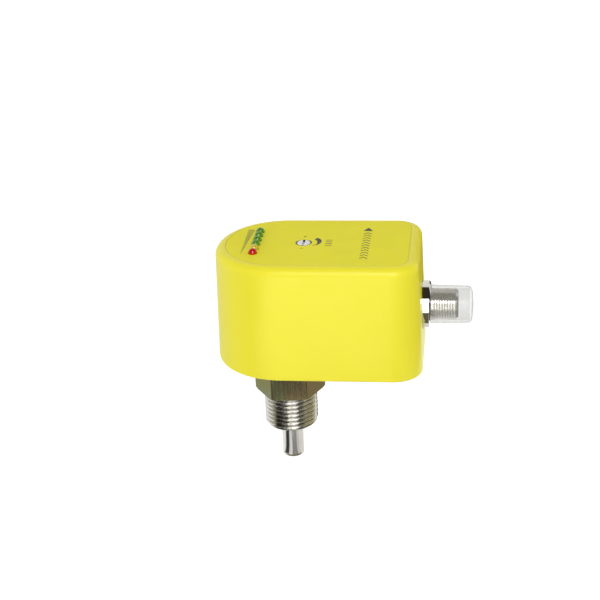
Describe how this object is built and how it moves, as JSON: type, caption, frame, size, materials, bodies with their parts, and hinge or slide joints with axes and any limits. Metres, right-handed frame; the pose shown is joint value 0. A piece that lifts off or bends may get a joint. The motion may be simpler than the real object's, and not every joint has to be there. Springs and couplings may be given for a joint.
{
  "type": "electronic flow switch",
  "caption": "Calorimetric flow switch: rounded plastic housing with indicator lamps and adjuster, threaded steel process connection with probe, and a capped round plug connector.",
  "frame": {"origin": "on the axis of the process thread, in the sealing face under the hexagon", "axes": "+Z along the thread axis from the probe to the housing, +X towards the plug connector"},
  "size_m": [0.0987, 0.054, 0.0934],
  "materials": {
    "yellow_plastic": "moulded, satin",
    "label_film": "printed film",
    "red_lens": "clear tinted epoxy",
    "yellow_lens": "clear tinted epoxy",
    "green_lens": "clear tinted epoxy",
    "white_plastic": "moulded",
    "black_plastic": "moulded",
    "black_rubber": "moulded",
    "stainless_steel": "turned",
    "screw_steel": "plated",
    "plated_brass": "nickel plated",
    "gold_contact": "gold plated",
    "tinned_copper": "tinned",
    "milky_plastic": "translucent, soft",
    "circuit_board": "solder mask",
    "aluminium_can": "sleeved",
    "white_ceramic": "fired, matt",
    "grey_filler": "cast",
    "wire_sleeve": "extruded"
  },
  "bodies": {
    "switch": {"housing_shell": "yellow_plastic", "base_cover": "yellow_plastic", "base_seal": "black_rubber", "base_screws": "screw_steel", "front_label": "label_film", "led_red": "red_lens", "led_yellow": "yellow_lens", "led_green_1": "green_lens", "led_green_2": "green_lens", "led_green_3": "green_lens", "led_green_4": "green_lens", "led_holder": "black_plastic", "led_leads": "tinned_copper", "trimmer_body": "black_plastic", "trimmer_seal": "black_rubber", "display_board": "circuit_board", "display_board_screws": "screw_steel", "power_board": "circuit_board", "power_board_screws": "screw_steel", "signal_ic": "black_plastic", "voltage_regulator": "black_plastic", "output_transistor": "black_plastic", "filter_capacitor": "aluminium_can", "board_header": "black_plastic", "header_pins": "gold_contact", "process_connection": "stainless_steel", "stem_o_ring": "black_rubber", "stem_locknut": "stainless_steel", "probe_tube": "stainless_steel", "heater_element": "white_ceramic", "reference_sensor": "white_ceramic", "probe_filler": "grey_filler", "sensor_leads": "wire_sleeve", "connector_body": "plated_brass", "contact_carrier": "black_plastic", "contact_pins": "gold_contact", "connector_nut": "plated_brass", "connector_gasket": "black_rubber", "connector_leads": "wire_sleeve"},
    "adjuster": {"trimmer_rotor": "white_plastic"},
    "cap": {"protective_cap": "milky_plastic"}
  },
  "joints": [
    {"name": "adjuster_turn", "type": "hinge", "parent": "switch", "child": "adjuster", "pos_m": [0.0078, 0, 0.0615], "axis": [0, 0, 1], "range_deg": [-135, 135]},
    {"name": "cap_pull", "type": "slide", "parent": "switch", "child": "cap", "axis": [1, 0, 0], "range_m": [0, 0.02]}
  ]
}
